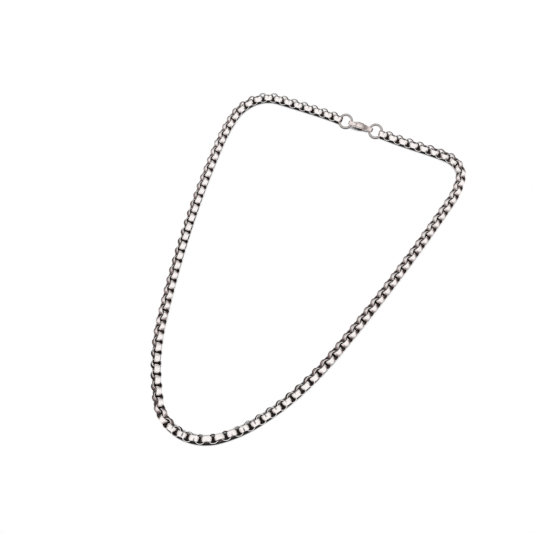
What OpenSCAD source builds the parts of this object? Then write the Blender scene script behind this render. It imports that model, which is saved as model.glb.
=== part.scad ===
// Necklace of round rolo chain in polished steel, lying flat in one closed loop.
// The loop's two ends carry a round wire ring each, and a lobster clasp joins the rings.
// Millimetres, +Z up, the table at Z = 0, +Y towards the clasp, the origin under the
// middle of the loop's bounding box.

/* [Link] */
// Distance from one link's centre to the next
pitch = 3.0; // [2.8:0.05:3.4]
// Outside radius of a link, at the middle of its band
link_r = 2.6; // [2.4:0.05:2.8]
// Radius of the hole in a link, at the middle of its band
hole_r = 1.98; // [1.8:0.01:2.2]
// Width of a link's band, along the link's own axis
band_w = 2.6; // [2.2:0.1:3]
// How far the outside of the band falls away from its middle to its rims
crown_out = 0.1; // [0.05:0.01:0.2]
// How far the inside of the band falls away from its middle to its rims
crown_in = 0.27; // [0.2:0.01:0.4]
// Width of the level middle of the band's outside
level_out = 1.1; // [0.6:0.1:1.6]
// Width of the level middle of the band's inside
level_in = 0.9; // [0.6:0.1:1.2]

/* [Lie of the chain] */
// Heading of the chain where it leaves the first ring, in degrees from +X
start_heading = 176; // [170:1:185]
// Lean of the odd links' faces at the start, in degrees from straight up towards the outside
start_roll = 45; // [30:1:60]
// Distance from the middle of a ring to the middle of the end link it holds
end_reach = 4.68; // [4.6:0.01:4.75]

/* [Rings] */
// Radius of a ring, to the middle of its wire
ring_r = 3.55; // [3.2:0.05:3.8]
// Thickness of a ring's wire
wire_d = 1.2; // [1:0.1:1.4]
// Tilt of the rings and the clasp, in degrees from lying flat
tilt = 37; // [25:1:45]

/* [Clasp] */
// Radius of the clasp's two rounded ends, seen from the side
end_r = 1.9; // [1.7:0.05:2.1]
// Distance between the middles of the two rounded ends
end_gap = 10.35; // [10:0.05:10.6]
// Depth of the spine below the clasp's line
spine_h = 2.4; // [2.2:0.05:2.6]
// Height of the lever side above the clasp's line
back_h = 3.2; // [3:0.05:3.4]
// Thickness of the clasp at the middle of its cheeks
cheek_t = 3.8; // [3.4:0.1:4.2]
// Thickness of the eye and of the hook's nose
end_t = 2.0; // [1.8:0.1:2.2]
// Radius of the eye at the tail
eye_r = 1.1; // [1:0.05:1.2]
// Radius of the two rounded ends of the claw's hole
claw_r = 1.3; // [1.2:0.05:1.4]
// Thickness of the hook's wall at the nose
nose_wall = 0.9; // [0.7:0.05:1]
// How far the first ring's wire sits behind the middle of the eye
wire_back = 0.2; // [0:0.05:0.25]

/* [Lever] */
// Width of the lever
lever_w = 1.5; // [1.3:0.1:1.6]
// Clearance on each side of the lever in its slot
slot_gap = 0.15; // [0.1:0.05:0.2]
// Distance from the eye to the lever's rivet, along the clasp
pivot_x = 4.0; // [3.8:0.1:4.4]
// Height of the lever's rivet above the clasp's line
pivot_z = 0.9; // [0.7:0.1:1.1]
// Radius of the rivet
rivet_r = 0.5; // [0.4:0.05:0.55]
// Distance from the rivet to the tip of the lever's arm
arm_r = 5.08; // [5:0.02:5.1]

/* [Hidden] */
steel = "#cbc8c5";
warm_steel = "#d3cac6";
overcut = 1;
far = 40;

// Stretches of the chain in turn: links, turn to the left in degrees, twist in degrees
stretches = [
  [4, 5, 0], [8, 1, 0], [5, 53, -7], [5, 34, 3], [7, 9, -1],
  [8, 2, 7], [12, 3, 13], [18, 4, -20], [8, 11, 30], [7, 8, -15],
  [5, 36.5, -26], [8, 58.5, -19], [6, 17, 22], [10, 13, 7], [8, 7, 10],
  [36, 5, 2], [5, 19, -11], [6, 75, -7], [5, 4, 7], [7, -4, 5]
];

// Turn and twist from each link to the next, then each link's heading, roll and centre
steps = [for (s = stretches) for (k = [1:s[0]]) [s[1] / s[0], s[2] / s[0]]];
last = len(steps);
poses = [
  for (i = 0, p = [start_heading, start_roll]; i <= last;
       p = i < last ? p + steps[i] : p, i = i + 1) p
];
function heading(i) = poses[i][0];
function along(angle) = [cos(angle), sin(angle)];
function halfway(i) = (heading(i) + heading(i + 1)) / 2;
places = [
  for (i = 0, p = end_reach * along(start_heading); i <= last;
       p = i < last ? p + pitch * along(halfway(i)) : p, i = i + 1) p
];

// Even links stand across the odd ones
function roll(i) = poses[i][1] + (i % 2 == 0 ? 90 : 0);

// How far a link reaches in a direction that has the part c of its length along the link's axis
rim_r = link_r - crown_out;
function side(c) = sqrt(max(0, 1 - c * c));
function reach(c) =
  max(link_r * side(c) + level_out / 2 * c, rim_r * side(c) + band_w / 2 * c);
function reach_x(i) = reach(abs(cos(roll(i)) * sin(heading(i))));
function reach_y(i) = reach(abs(cos(roll(i)) * cos(heading(i))));

// Each link's centre is high enough for it and its crossed neighbours to clear the table
function lift(i) = max(reach(abs(sin(roll(i)))), reach(abs(cos(roll(i)))));

// The rings, measured from the middle of the first one
wire_r = wire_d / 2;
ring_z = ring_r * sin(tilt) + wire_r;
ring_2 = places[last] + end_reach * along(heading(last));
clasp_turn = atan2(ring_2[1], ring_2[0]);

// The first ring's middle, so that the loop's bounding box is centred on the origin
ring_top = ring_r * cos(tilt) + wire_r;
low_x = min([for (i = [0:last]) places[i][0] - reach_x(i)]);
high_x = max([for (i = [0:last]) places[i][0] + reach_x(i)]);
low_y = min([for (i = [0:last]) places[i][1] - reach_y(i)]);
high_y = max(
  ring_top, ring_2[1] + ring_top, max([for (i = [0:last]) places[i][1] + reach_y(i)])
);
ring_1 = -[low_x + high_x, low_y + high_y] / 2;

// The clasp's side outline: arcs that touch both end discs and bulge by the given height
half_gap = end_gap / 2;
function bulge_r(h) = (half_gap * half_gap + h * h - end_r * end_r) / (2 * (h - end_r));
top_arc = bulge_r(back_h);
bottom_arc = bulge_r(spine_h);
function bulge_mid(radius, up) =
  [half_gap, up * (end_r - radius) * side(half_gap / (radius - end_r))];

// The cheeks: their plan bulge, and the roundness of their cross-section. An arc's radius
// comes from how far it rises over half a chord.
function arc_r(half, sag) = (half * half + sag * sag) / (2 * sag);
cheek_mid = 5.3;
cheek_half = 4.4;
cheek_arc = arc_r(cheek_half, (cheek_t - end_t) / 2);
cross_mid = (back_h - spine_h) / 2;
cross_half = (back_h + spine_h) / 2;
cross_flat = 1.35;
cross_arc = arc_r(cross_half, cheek_t / 2 - cross_flat);
clasp_z = spine_h * cos(tilt) + cross_flat * sin(tilt);

// The claw's hole, its mouth, and the lever's slot
nose_x = end_gap + end_r;
claw_x1 = 7.2;
claw_x2 = nose_x - nose_wall - claw_r;
claw_z = 0.15;
mouth_x = 7.0;
mouth_r = arm_r + 0.12;
slot_x = 1.55;
slot_z = -0.45;
slot_w = lever_w + 2 * slot_gap;
rivet_out = 0.07;

// The lever's arm, root and thumb tab
arm_top = top_arc - 0.12;
arm_h = 1.15;
arm_low = pivot_z + 1;
root_r = 1.15;
lever_bore_r = rivet_r + 0.1;
tab_x = slot_x + 0.2;
tab_w = 1.2;
tab_out = 0.75;
tab_neck = 2.9;
tab_tip = 3.4;
tab_lean = 0.4;

// One link: a round band about Z, crowned outside and inside
module link() {
  inner = hole_r + crown_in;
  half = band_w / 2;
  rotate_extrude($fn = 96) polygon([
    [hole_r, -level_in / 2], [inner, -half], [rim_r, -half], [link_r, -level_out / 2],
    [link_r, level_out / 2], [rim_r, half], [inner, half], [hole_r, level_in / 2]
  ]);
}

// All the links, each through its neighbours, turned and rolled into place
module chain() {
  color(steel) translate(ring_1) for (i = [0:last])
    translate([places[i][0], places[i][1], lift(i)])
      rotate([roll(i) - 90, 0, heading(i)]) link();
}

// One round ring of wire, tilted as the clasp is
module wire_ring() {
  color(steel) translate([0, 0, ring_z]) rotate([tilt, 0, clasp_turn])
    rotate_extrude($fn = 96) translate([ring_r, 0]) circle(r = wire_r, $fn = 48);
}

// The ring through the clasp's eye
module ring_tail() {
  translate(ring_1) wire_ring();
}

// The ring held in the clasp's claw
module ring_claw() {
  translate(ring_1 + ring_2) wire_ring();
}

// Puts the clasp's own frame in place: X from eye to nose, Z to the lever side
module at_clasp() {
  translate([ring_1[0], ring_1[1], clasp_z]) rotate([0, 0, clasp_turn])
    translate([ring_r + wire_back, 0, 0]) rotate([tilt, 0, 0]) children();
}

// A shape drawn in the clasp's X and Z, given a width across the clasp
module across(width) {
  rotate([90, 0, 0]) translate([0, 0, -width / 2]) linear_extrude(width) children();
}

// The part of a big disc between the rays from its centre through the two end discs
module bulge(radius, up) {
  mid = bulge_mid(radius, up);
  intersection() {
    translate(mid) circle(r = radius, $fn = 200);
    polygon([[0, 0], -3 * mid, [end_gap, 0] + 3 * ([end_gap, 0] - mid), [end_gap, 0]]);
  }
}

// The clasp's outline from the side
module side_outline() {
  circle(r = end_r, $fn = 96);
  translate([end_gap, 0]) circle(r = end_r, $fn = 96);
  bulge(top_arc, 1);
  bulge(bottom_arc, -1);
}

// A shape bounded by two equal arcs, with its middle at the given height on Y
module lens(radius, half) {
  intersection() {
    translate([0, half - radius]) circle(r = radius, $fn = 200);
    translate([0, radius - half]) circle(r = radius, $fn = 200);
  }
}

// The clasp's outline from above: slim ends and bulging cheeks
module plan_outline() {
  translate([-end_r - overcut, -end_t / 2]) square([nose_x + end_r + 2 * overcut, end_t]);
  translate([cheek_mid, 0]) lens(cheek_arc, cheek_t / 2);
}

// The solid clasp before its holes are cut
module clasp_blank() {
  intersection() {
    across(2 * cheek_t) side_outline();
    translate([0, 0, -far / 2]) linear_extrude(far) plan_outline();
    translate([-far / 2, 0, cross_mid]) rotate([90, 0, 90])
      linear_extrude(far) rotate(90) lens(cross_arc, cheek_t / 2);
  }
}

// The claw's hole with its mouth, which ends at the hook's tip
module claw_outline() {
  translate([claw_x1, claw_z]) circle(r = claw_r, $fn = 96);
  translate([claw_x2, claw_z]) circle(r = claw_r, $fn = 96);
  translate([claw_x1, claw_z - claw_r]) square([claw_x2 - claw_x1, 2 * claw_r]);
  intersection() {
    translate([pivot_x, pivot_z]) circle(r = mouth_r, $fn = 200);
    translate([mouth_x, claw_z]) square([far, far]);
  }
}

// The clasp's body: eye, two cheeks, spine and hook in one piece
module clasp_body() {
  color(warm_steel) at_clasp() difference() {
    clasp_blank();
    across(far) circle(r = eye_r, $fn = 96);
    across(far) claw_outline();
    across(slot_w) translate([slot_x, slot_z]) square([mouth_x + overcut - slot_x, far]);
    across(far) translate([pivot_x, pivot_z]) circle(r = rivet_r, $fn = 96);
  }
}

// The rivet that the lever turns on, a little proud of each cheek
module clasp_rivet() {
  color(steel) at_clasp()
    across(cheek_t + 2 * rivet_out) translate([pivot_x, pivot_z])
      circle(r = rivet_r, $fn = 96);
}

// A disc about the middle of the clasp's top arc
module back_disc(radius) {
  translate(bulge_mid(top_arc, 1)) circle(r = radius, $fn = 200);
}

// The lever from the side: root, arm along the clasp's back, and thumb tab
module lever_outline() {
  translate([pivot_x, pivot_z]) circle(r = root_r, $fn = 96);
  intersection() {
    difference() {
      back_disc(arm_top);
      back_disc(arm_top - arm_h);
    }
    translate([pivot_x, pivot_z]) circle(r = arm_r, $fn = 200);
    translate([tab_x, pivot_z]) square([far, far]);
  }
  intersection() {
    back_disc(arm_top);
    polygon([[pivot_x - root_r, pivot_z], [tab_x, arm_low], [tab_x, far],
             [mouth_x, far], [mouth_x, arm_low], [pivot_x + root_r, pivot_z]]);
  }
  intersection() {
    back_disc(top_arc + tab_out);
    polygon([[tab_x + tab_w + tab_lean, arm_low], [tab_x + tab_w, back_h + 2 * tab_out],
             [tab_x - 2 * tab_lean, back_h + 2 * tab_out], [tab_x - tab_lean, tab_tip],
             [tab_x, tab_neck], [tab_x, arm_low]]);
  }
}

// The sprung lever, with its bore round the rivet
module clasp_lever() {
  color(steel) at_clasp() difference() {
    across(lever_w) lever_outline();
    across(far) translate([pivot_x, pivot_z]) circle(r = lever_bore_r, $fn = 96);
  }
}

chain();
ring_tail();
ring_claw();
clasp_body();
clasp_rivet();
clasp_lever();
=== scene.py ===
import math
import bmesh
import bpy
import numpy as np
from mathutils import Matrix, Vector


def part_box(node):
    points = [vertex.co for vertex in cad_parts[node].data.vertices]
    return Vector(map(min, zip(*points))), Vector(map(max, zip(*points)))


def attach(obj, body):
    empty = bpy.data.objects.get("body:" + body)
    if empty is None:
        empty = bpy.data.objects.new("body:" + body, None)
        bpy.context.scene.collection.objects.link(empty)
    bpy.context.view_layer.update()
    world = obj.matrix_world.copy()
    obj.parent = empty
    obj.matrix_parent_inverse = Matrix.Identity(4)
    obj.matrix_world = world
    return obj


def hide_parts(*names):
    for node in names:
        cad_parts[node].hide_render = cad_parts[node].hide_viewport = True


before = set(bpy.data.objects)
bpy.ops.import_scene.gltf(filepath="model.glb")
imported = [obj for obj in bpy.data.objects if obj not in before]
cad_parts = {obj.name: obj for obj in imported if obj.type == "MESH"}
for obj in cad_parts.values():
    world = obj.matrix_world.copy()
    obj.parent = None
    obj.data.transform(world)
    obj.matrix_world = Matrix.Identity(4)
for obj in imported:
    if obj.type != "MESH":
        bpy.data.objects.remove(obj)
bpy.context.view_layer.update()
scene = bpy.context.scene

# The camera looks down on the laid-out loop from the front right, from about 58 cm away.
# Its slant, roll and distance come from how the links shrink towards the clasp, and its focal
# length is given in the photo's own pixels.
camera_fall = math.radians(56.853)
camera_turn = math.radians(30.28)
camera_roll = math.radians(-5.294)
camera_away = 0.58176
camera_target = Vector((-0.005467, -0.002027, 0.0025))
camera_film = 36
photo_width = 533
photo_focus = 1150.18
turned = Matrix.Rotation(camera_turn, 3, "Z")
ahead = turned @ Vector((0, math.cos(camera_fall), -math.sin(camera_fall)))
across = turned @ Vector((1, 0, 0))
above = across.cross(ahead)
right = math.cos(camera_roll) * across + math.sin(camera_roll) * above
upward = math.cos(camera_roll) * above - math.sin(camera_roll) * across
camera = bpy.data.objects.new("camera", bpy.data.cameras.new("camera"))
scene.collection.objects.link(camera)
camera.matrix_world = Matrix.Translation(camera_target - camera_away * ahead) @ Matrix(
    (right, upward, -ahead)).transposed().to_4x4()
camera.data.sensor_width = camera_film
camera.data.lens = camera_film * photo_focus / photo_width
camera.data.clip_start = 0.01
scene.camera = camera

# The floor is a smooth matt white card, the table top that the loop lies on. It glows evenly white,
# and painted shade darkens it only in the crevices where the metal nearly touches it. It stays out
# of the metal's reflections.
def linear(hex_colour):
    """An sRGB hex colour as linear red, green, blue and alpha."""
    parts = [int(hex_colour[i:i + 2], 16) / 255 for i in (1, 3, 5)]
    return tuple(c / 12.92 if c <= 0.04045 else ((c + 0.055) / 1.055) ** 2.4 for c in parts) + (1,)


def add(material, kind, values=None, links=None, **settings):
    """Adds a node to a material or a world, with its settings, its inputs' values and its links."""
    new = material.node_tree.nodes.new(kind)
    for name, setting in settings.items():
        setattr(new, name, setting)
    for name, value in (values or {}).items():
        new.inputs[name].default_value = value
    for name, source in (links or {}).items():
        material.node_tree.links.new(source, new.inputs[name])
    return new


def start_material(name):
    """A new material with nothing but its output node."""
    material = bpy.data.materials.new(name)
    material.use_nodes = True
    material.node_tree.nodes.clear()
    return material, add(material, "ShaderNodeOutputMaterial")


def finish_material(material, output, shader):
    """Joins a shader to the material's output."""
    material.node_tree.links.new(shader.outputs[0], output.inputs["Surface"])


def build_mesh(name, points, faces, smooth=True):
    """A mesh object in the frame's own metres, linked to the scene."""
    mesh = bpy.data.meshes.new(name)
    mesh.from_pydata([tuple(p) for p in points], [], [tuple(f) for f in faces])
    mesh.validate()
    mesh.update()
    mesh.polygons.foreach_set("use_smooth", [smooth] * len(mesh.polygons))
    piece = bpy.data.objects.new(name, mesh)
    scene.collection.objects.link(piece)
    return piece


floor_half = 8
floor_drop = 0.00002
crevice_reach = 0.004
crevice_shut, crevice_open = 0.3, 0.5
crevice_glow = 0.02
floor = build_mesh("floor", [(x, y, -floor_drop) for x, y in (
    (-floor_half, -floor_half), (floor_half, -floor_half),
    (floor_half, floor_half), (-floor_half, floor_half))], [(0, 1, 2, 3)], smooth=False)
white_card, card_out = start_material("white_card_with_painted_crevice_shade")
# Painted shade: the card's glow falls towards black where ambient occlusion finds metal close by.
crevice = add(white_card, "ShaderNodeAmbientOcclusion", {"Distance": crevice_reach},
              samples=16)
shade = add(white_card, "ShaderNodeMapRange", {
    "From Min": crevice_shut, "From Max": crevice_open, "To Min": crevice_glow},
    {"Value": crevice.outputs["AO"]})
finish_material(white_card, card_out, add(white_card, "ShaderNodeEmission", {"Strength": 1.0},
                {"Color": shade.outputs["Result"]}))
floor.data.materials.append(white_card)
floor.visible_glossy = False

# The loop lies in a white light tent that is lit from the camera's side, so its far wall is
# dimmer. Low down it turns to warm grey and then black, which outlines every link. The hole
# in the tent that the camera looks through is dark, and leaves a fine mark on each face.
wall_black_below, wall_white_above = -0.6, 0.1
warm_grey_at = 0.6
near_glow, far_glow = 1.15, 0.7
peephole_edge, peephole_middle = 0.94, 0.985
peephole_glow = 0.12
room = bpy.data.worlds.new("light_tent")
room.use_nodes = True
room.node_tree.nodes.clear()
way = add(room, "ShaderNodeTexCoord")
height = add(room, "ShaderNodeSeparateXYZ", {}, {"Vector": way.outputs["Generated"]})
rise = add(room, "ShaderNodeMapRange", {
    "From Min": wall_black_below, "From Max": wall_white_above}, {"Value": height.outputs["Z"]})
wall = add(room, "ShaderNodeValToRGB", {}, {"Fac": rise.outputs["Result"]})
wall.color_ramp.elements[0].color = linear("#0b0808")
wall.color_ramp.elements[1].color = linear("#ffffff")
wall.color_ramp.elements.new(warm_grey_at).color = linear("#9c8c8a")
far_way = (-math.sin(camera_turn), math.cos(camera_turn), 0)
farness = add(room, "ShaderNodeVectorMath", {1: far_way}, {0: way.outputs["Generated"]},
              operation="DOT_PRODUCT")
dim = add(room, "ShaderNodeMapRange", {
    "From Min": 0.1, "From Max": 0.9, "To Min": near_glow, "To Max": far_glow},
    {"Value": farness.outputs["Value"]})
nearness = add(room, "ShaderNodeVectorMath", {1: tuple(-ahead)}, {0: way.outputs["Generated"]},
               operation="DOT_PRODUCT")
peephole = add(room, "ShaderNodeMapRange", {
    "From Min": peephole_edge, "From Max": peephole_middle, "To Min": 1.0,
    "To Max": peephole_glow},
    {"Value": nearness.outputs["Value"]})
glow = add(room, "ShaderNodeMath", {}, {0: dim.outputs["Result"], 1: peephole.outputs["Result"]},
           operation="MULTIPLY")
room_glow = add(room, "ShaderNodeBackground", {}, {
    "Color": wall.outputs["Color"], "Strength": glow.outputs["Value"]})
add(room, "ShaderNodeOutputWorld", {}, {"Surface": room_glow.outputs["Background"]})
scene.world = room
scene.view_settings.view_transform = "Standard"

# The chain: round links of wide steel band, each bent to a ring through the one before,
# butted at a fine seam, and tumbled until the crowned outside is bright. Its sizes, and those
# of the rings, are in millimetres.
band_radius = 2.6
band_hole = 1.95
band_width = 2.6
crown_out = 0.1
crown_in = 0.27
rim_round = 0.05
seam_depth = 0.05
seam_width = 0.06
seam_lean_degrees = 25
around_steps = 40
outside_steps = 4
inside_steps = 3


def solid_of_each_point(mesh):
    """For each point of a mesh, the lowest point number in its separate solid."""
    ends = np.empty(2 * len(mesh.edges), int)
    mesh.edges.foreach_get("vertices", ends)
    a, b = ends.reshape(-1, 2).T
    label = np.arange(len(mesh.vertices))
    while True:
        low = np.minimum(label[a], label[b])
        fresh = label.copy()
        np.minimum.at(fresh, a, low)
        np.minimum.at(fresh, b, low)
        fresh = fresh[fresh]
        if (fresh == label).all():
            return label
        label = fresh


def link_places():
    """Each link's centre and the axis of its hole, from its solid in the CAD chain."""
    mesh = bpy.data.meshes.new("joined_cad_chain")
    joined = bmesh.new()
    joined.from_mesh(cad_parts["chain"].data)
    bmesh.ops.remove_doubles(joined, verts=joined.verts, dist=1e-6)
    joined.to_mesh(mesh)
    joined.free()
    face_count = len(mesh.polygons)
    area, face_middle = np.empty(face_count), np.empty(3 * face_count)
    first_corner, point_number = np.empty(face_count, int), np.empty(len(mesh.loops), int)
    mesh.polygons.foreach_get("area", area)
    mesh.polygons.foreach_get("center", face_middle)
    mesh.polygons.foreach_get("loop_start", first_corner)
    mesh.loops.foreach_get("vertex_index", point_number)
    face_middle = face_middle.reshape(-1, 3)
    face_solid = solid_of_each_point(mesh)[point_number[first_corner]]
    centres, axes = [], []
    for solid in np.unique(face_solid):
        mine = face_solid == solid
        weight = area[mine] / area[mine].sum()
        middle = weight @ face_middle[mine]
        away = face_middle[mine] - middle
        thinnest_way = np.linalg.eigh((away * weight[:, None]).T @ away)[1][:, 0]
        centres.append(middle)
        axes.append(thinnest_way)
    bpy.data.meshes.remove(mesh)
    return np.array(centres), np.array(axes)


def arc_drop(half, sag, across):
    """How far an arc that sags by sag at half falls at a distance across from its top."""
    bend = (half * half + sag * sag) / (2 * sag)
    return bend - np.sqrt(bend * bend - across * across)


def band_profile():
    """The band's section in millimetres, as (radius, height) in turn round it."""
    half = band_width / 2
    outside = [(band_radius - arc_drop(half, crown_out, z), z)
               for z in np.linspace(half - rim_round, rim_round - half, outside_steps + 1)]
    inside = [(band_hole + arc_drop(half, crown_in, z), z)
              for z in np.linspace(rim_round - half, half - rim_round, inside_steps + 1)]
    rim = [band_radius - crown_out - rim_round, band_hole + crown_in + rim_round]
    lower_rim = [(r, -half) for r in rim]
    upper_rim = [(r, half) for r in reversed(rim)]
    return np.array(outside + lower_rim + inside + upper_rim)


profile = band_profile()
turns = np.linspace(0, 2 * math.pi, around_steps, endpoint=False)
seam_half = seam_width / 2 / band_radius
turns = np.sort(np.append(turns[1:], [-seam_half, 0, seam_half]))
sinks = np.where(turns == 0, seam_depth, 0)
ring_mm = np.array([[(r - sink) * math.cos(turn), (r - sink) * math.sin(turn), z]
                    for turn, sink in zip(turns, sinks) for r, z in profile])
columns, rows = len(turns), len(profile)
ring_faces = np.array([(c * rows + k, (c + 1) % columns * rows + k,
                        (c + 1) % columns * rows + (k + 1) % rows, c * rows + (k + 1) % rows)
                       for c in range(columns) for k in range(rows)])

# A link goes through its two nearest neighbours, and its seam lies inside one of them, where it
# hardly shows. Each link takes its own piece of the steel's pattern, so no two look alike.
pattern_step = 9
centres, axes = link_places()
chain_points, chain_faces, link_mm, runs = [], [], [], []
wobble = np.random.default_rng(4)
for number, (centre, axis) in enumerate(zip(centres, axes)):
    near = np.argsort(np.linalg.norm(centres - centre, axis=1))[1:3]
    run = centres[near[0]] - centres[near[1]]
    run[2] = 0
    runs.append((centre, run / np.linalg.norm(run)))
    along = centres[near[0]] - centre
    along -= axis * (along @ axis)
    along /= np.linalg.norm(along)
    side = np.cross(axis, along)
    lean = math.radians(wobble.uniform(-seam_lean_degrees, seam_lean_degrees))
    seam_way = math.cos(lean) * along + math.sin(lean) * side
    basis = np.array([seam_way, np.cross(axis, seam_way), axis])
    chain_points.append(centre + ring_mm @ basis / 1000)
    chain_faces.append(ring_faces + number * len(ring_mm))
    link_mm.append(ring_mm + [0, 0, pattern_step * number])
links = build_mesh("chain_links", np.vstack(chain_points), np.vstack(chain_faces))
place = links.data.attributes.new("link_mm", "FLOAT_VECTOR", "POINT")
place.data.foreach_set("vector", np.vstack(link_mm).ravel())

# Stainless steel, tumble polished: a near-mirror with very fine lines that run round the band.
# The lines are drawn five times too coarse, at 0.3 mm, so that they show at all. Handling has
# dulled the polish in faint clouds of about 1.25 mm.
line_gap, line_length = 0.3125, 4
cloud_size = 1.25
tumbled_steel, tumbled_out = start_material("tumbled_stainless_steel")
spot = add(tumbled_steel, "ShaderNodeAttribute", attribute_name="link_mm")
stretch = add(tumbled_steel, "ShaderNodeMapping", {
    "Scale": (1 / line_length, 1 / line_length, 1 / line_gap)},
    {"Vector": spot.outputs["Vector"]})
lines = add(tumbled_steel, "ShaderNodeTexNoise", {"Scale": 1.0, "Detail": 3.0},
            {"Vector": stretch.outputs[0]})
clouds = add(tumbled_steel, "ShaderNodeTexNoise", {"Scale": 1 / cloud_size, "Detail": 2.0},
             {"Vector": spot.outputs["Vector"]})
haze = add(tumbled_steel, "ShaderNodeMapRange", {"From Min": 0.3, "From Max": 0.7,
           "To Min": 0.12, "To Max": 0.26}, {"Value": clouds.outputs["Fac"]})
grooves = add(tumbled_steel, "ShaderNodeBump", {"Strength": 0.12, "Distance": 0.00004},
              {"Height": lines.outputs["Fac"]})
finish_material(tumbled_steel, tumbled_out, add(tumbled_steel, "ShaderNodeBsdfPrincipled", {
    "Base Color": linear("#ece7e5"), "Metallic": 1.0},
    {"Roughness": haze.outputs["Result"], "Normal": grooves.outputs["Normal"]}))

# The inside of the same band, which tumbling hardly reaches. It stays dull as it was rolled, in
# soft patches of about 0.6 mm, and its dark grey colour is painted shade inside the links.
rolled_patch = 0.625
rolled_steel_painted_shade, rolled_out = start_material("rolled_stainless_steel_painted_shade")
spot = add(rolled_steel_painted_shade, "ShaderNodeAttribute", attribute_name="link_mm")
clouds = add(rolled_steel_painted_shade, "ShaderNodeTexNoise", {"Scale": 1 / rolled_patch, "Detail": 4.0},
             {"Vector": spot.outputs["Vector"]})
haze = add(rolled_steel_painted_shade, "ShaderNodeMapRange", {"To Min": 0.3, "To Max": 0.5},
           {"Value": clouds.outputs["Fac"]})
# Painted shade: the base colour is dark grey so that the insides of the links look shaded.
finish_material(rolled_steel_painted_shade, rolled_out, add(rolled_steel_painted_shade, "ShaderNodeBsdfPrincipled", {
    "Base Color": linear("#6a6462"), "Metallic": 1.0}, {"Roughness": haze.outputs["Result"]}))
links.data.materials.append(tumbled_steel)
links.data.materials.append(rolled_steel_painted_shade)

# The dull steel with its painted shade begins past the rim, which is three rows of faces wide
# at each side of the band.
links.data.set_sharp_from_angle(angle=math.radians(30))
rim_steps = 3
inside_rows = range(outside_steps + rim_steps, outside_steps + rim_steps + inside_steps)
links.data.polygons.foreach_set("material_index", [
    1 if row in inside_rows else 0 for row in range(rows)] * (columns * len(centres)))
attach(links, "necklace")
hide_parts("chain")

# Right under the chain the table lies in deep shade, which shows through the links' holes.
# A strip follows the links, black in the middle and fading out to the table's white. It
# reaches further, and fades more softly, on the side away from the light over the camera.
shade_edge, shade_core = 0.00195, 0.00135
shade_across = (-shade_edge, -shade_core, shade_core, shade_edge)
shade_ahead = 0.0016
shade_drop = 0.00001
far_reach = 0.002
reach_share = (1, 0.35, 0.35, 1)
far_cast = far_reach * np.array(far_way)
core_light = 0.24
fade_power = 3.0
shade_points, shade_faces = [], []
for number, (middle, run) in enumerate(runs):
    aside = np.array([-run[1], run[0], 0])
    cast = far_cast @ aside
    for step in (-shade_ahead, shade_ahead):
        for off, share in zip(shade_across, reach_share):
            if off * cast > 0:
                off += share * cast
            point = middle + step * run + off * aside
            shade_points.append((point[0], point[1], -shade_drop))
    shade_faces += [tuple(8 * number + k + corner for corner in (0, 1, 5, 4)) for k in range(3)]
under = build_mesh("shade_under_chain", shade_points, shade_faces, smooth=False)
depth = under.data.attributes.new("depth", "FLOAT", "POINT")
depth.data.foreach_set("value", [0, 1, 1, 0] * (2 * len(runs)))
shaded_card, shaded_out = start_material("white_card_in_deep_shade")
dark = add(shaded_card, "ShaderNodeAttribute", attribute_name="depth")
light_left = add(shaded_card, "ShaderNodeMapRange", {"To Min": 1.0, "To Max": core_light},
                 {"Value": dark.outputs["Fac"]})
fade = add(shaded_card, "ShaderNodeMath", {1: fade_power}, {0: light_left.outputs["Result"]},
           operation="POWER")
finish_material(shaded_card, shaded_out, add(shaded_card, "ShaderNodeEmission", {"Strength": 1.0},
                {"Color": fade.outputs["Value"]}))
under.data.materials.append(shaded_card)
under.visible_glossy = False

# The two jump rings: round drawn stainless wire, cut from a coil and closed so that the ends
# just meet, each end nipped a little thinner. Drawing leaves it smooth and a little darker than
# the tumbled links.
wire_radius = 0.63
wire_end_share = 0.93
ring_radius = 3.55
ring_tilt = math.radians(37)
cut_gap = 0.06
die_marks_per_metre = 1400
wire_sides = 28
ring_steps = 120

# Drawn wire shines softly, with faint marks of the die, 0.7 mm apart, that dull it in spots.
drawn_steel, drawn_out = start_material("drawn_stainless_wire")
spot = add(drawn_steel, "ShaderNodeTexCoord")
marks = add(drawn_steel, "ShaderNodeTexNoise", {
    "Scale": die_marks_per_metre, "Detail": 3.0}, {"Vector": spot.outputs["Object"]})
haze = add(drawn_steel, "ShaderNodeMapRange", {"To Min": 0.12, "To Max": 0.24},
           {"Value": marks.outputs["Fac"]})
finish_material(drawn_steel, drawn_out, add(drawn_steel, "ShaderNodeBsdfPrincipled", {
    "Base Color": linear("#b0aaa8"), "Metallic": 1.0}, {"Roughness": haze.outputs["Result"]}))

ring_axis = Vector((0, -math.sin(ring_tilt), math.cos(ring_tilt)))
first = Vector((1, 0, 0))
second = ring_axis.cross(first)
half_cut = cut_gap / 2 / ring_radius
for name, cut_at in (("ring_tail", math.radians(70)), ("ring_claw", math.radians(110))):
    low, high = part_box(name)
    centre = (np.array(low) + np.array(high)) / 2
    points, faces = [], []
    for step in range(ring_steps + 1):
        turn = cut_at + half_cut + (2 * math.pi - 2 * half_cut) * step / ring_steps
        out = math.cos(turn) * first + math.sin(turn) * second
        thick = wire_radius * (wire_end_share if step in (0, ring_steps) else 1)
        for k in range(wire_sides):
            spin = 2 * math.pi * k / wire_sides
            reach = (ring_radius + thick * math.cos(spin)) * out
            reach += thick * math.sin(spin) * ring_axis
            points.append(centre + np.array(reach) / 1000)
    for step in range(ring_steps):
        for k in range(wire_sides):
            a, b = step * wire_sides + k, step * wire_sides + (k + 1) % wire_sides
            faces.append((a, a + wire_sides, b + wire_sides, b))
    faces.append(tuple(range(wire_sides)))
    faces.append(tuple(reversed(range(ring_steps * wire_sides, (ring_steps + 1) * wire_sides))))
    ring = build_mesh("jump_" + name, points, faces)
    ring.data.materials.append(drawn_steel)
    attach(ring, "necklace")
    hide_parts(name)
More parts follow.
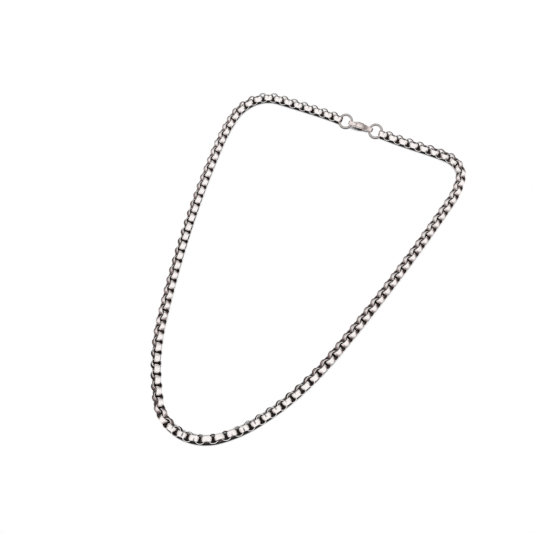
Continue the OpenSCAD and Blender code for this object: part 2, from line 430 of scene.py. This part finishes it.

# The clasp's body: one steel casting with an eye, two cheeks, a spine and a hook.
# Casting and polishing have rounded every edge by about 0.2 mm, and painted shade darkens its
# grooves.
def soften(name, source, voxel, passes):
    """A copy of a CAD node with its edges rounded, as casting and polishing leave them."""
    mesh = bpy.data.meshes.new(name)
    shape = bmesh.new()
    shape.from_mesh(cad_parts[source].data)
    bmesh.ops.remove_doubles(shape, verts=shape.verts, dist=1e-7)
    shape.to_mesh(mesh)
    shape.free()
    piece = bpy.data.objects.new(name, mesh)
    scene.collection.objects.link(piece)
    remesh = piece.modifiers.new("remesh", "REMESH")
    remesh.mode = "VOXEL"
    remesh.voxel_size = voxel
    remesh.adaptivity = 0
    smooth = piece.modifiers.new("smooth", "SMOOTH")
    smooth.factor = 0.5
    smooth.iterations = passes
    graph = bpy.context.evaluated_depsgraph_get()
    final = bpy.data.meshes.new_from_object(piece.evaluated_get(graph))
    piece.modifiers.clear()
    piece.data = final
    final.materials.clear()
    final.polygons.foreach_set("use_smooth", [True] * len(final.polygons))
    return piece


def steel_with_painted_groove_shade(name, marks_per_metre, smoothest, roughest, groove_shade_reach, bright):
    """Polished steel that is duller in its small marks, with painted shade that darkens it down in
    its grooves.
    """
    steel, steel_out = start_material(name)
    spot = add(steel, "ShaderNodeTexCoord")
    marks = add(steel, "ShaderNodeTexNoise", {"Scale": marks_per_metre, "Detail": 3.0},
                {"Vector": spot.outputs["Object"]})
    haze = add(steel, "ShaderNodeMapRange", {"To Min": smoothest, "To Max": roughest},
               {"Value": marks.outputs["Fac"]})
    # Painted shade: ambient occlusion turns the base colour dark brown-grey down in grooves and
    # crevices.
    hollow = add(steel, "ShaderNodeAmbientOcclusion", {"Distance": groove_shade_reach}, samples=16)
    painted_groove_shade = add(steel, "ShaderNodeValToRGB", {}, {"Fac": hollow.outputs["AO"]})
    shade_stop, proud = painted_groove_shade.color_ramp.elements
    shade_stop.position, shade_stop.color = 0.3, linear("#2e2624")
    proud.position, proud.color = 0.8, linear(bright)
    finish_material(steel, steel_out, add(steel, "ShaderNodeBsdfPrincipled", {"Metallic": 1.0}, {
        "Base Color": painted_groove_shade.outputs["Color"], "Roughness": haze.outputs["Result"]}))
    return steel


# Cast steel keeps a slight ripple, 2 mm from crest to crest, under its soft warm polish.
cast_steel = steel_with_painted_groove_shade("cast_stainless_steel", marks_per_metre=500, smoothest=0.16,
                           roughest=0.32, groove_shade_reach=0.0009, bright="#e2d5d1")
body = soften("clasp_casting", "clasp_body", voxel=0.00007, passes=7)
body.data.materials.append(cast_steel)
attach(body, "necklace")
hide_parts("clasp_body")

# The lever: stamped steel in the slot between the cheeks, its thumb tab standing proud. It
# turns on the rivet, and its corners are broken so that a thumb can slide it back.

# Stamping leaves flat faces, a little brighter than the casting, with marks 1.1 mm apart.
stamped_steel = steel_with_painted_groove_shade("stamped_stainless_steel", marks_per_metre=900, smoothest=0.15,
                              roughest=0.3, groove_shade_reach=0.0006, bright="#e2d8d5")
lever = soften("clasp_thumb_lever", "clasp_lever", voxel=0.00005, passes=5)
lever.data.materials.append(stamped_steel)
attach(lever, "lever")
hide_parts("clasp_lever")

# The rivet: a pin across the cheeks that the lever turns on. It is cut from the same drawn
# wire as the rings and peened flat at both ends.
pin = soften("clasp_pin", "clasp_rivet", voxel=0.00004, passes=4)
pin.data.materials.append(drawn_steel)
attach(pin, "necklace")
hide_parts("clasp_rivet")
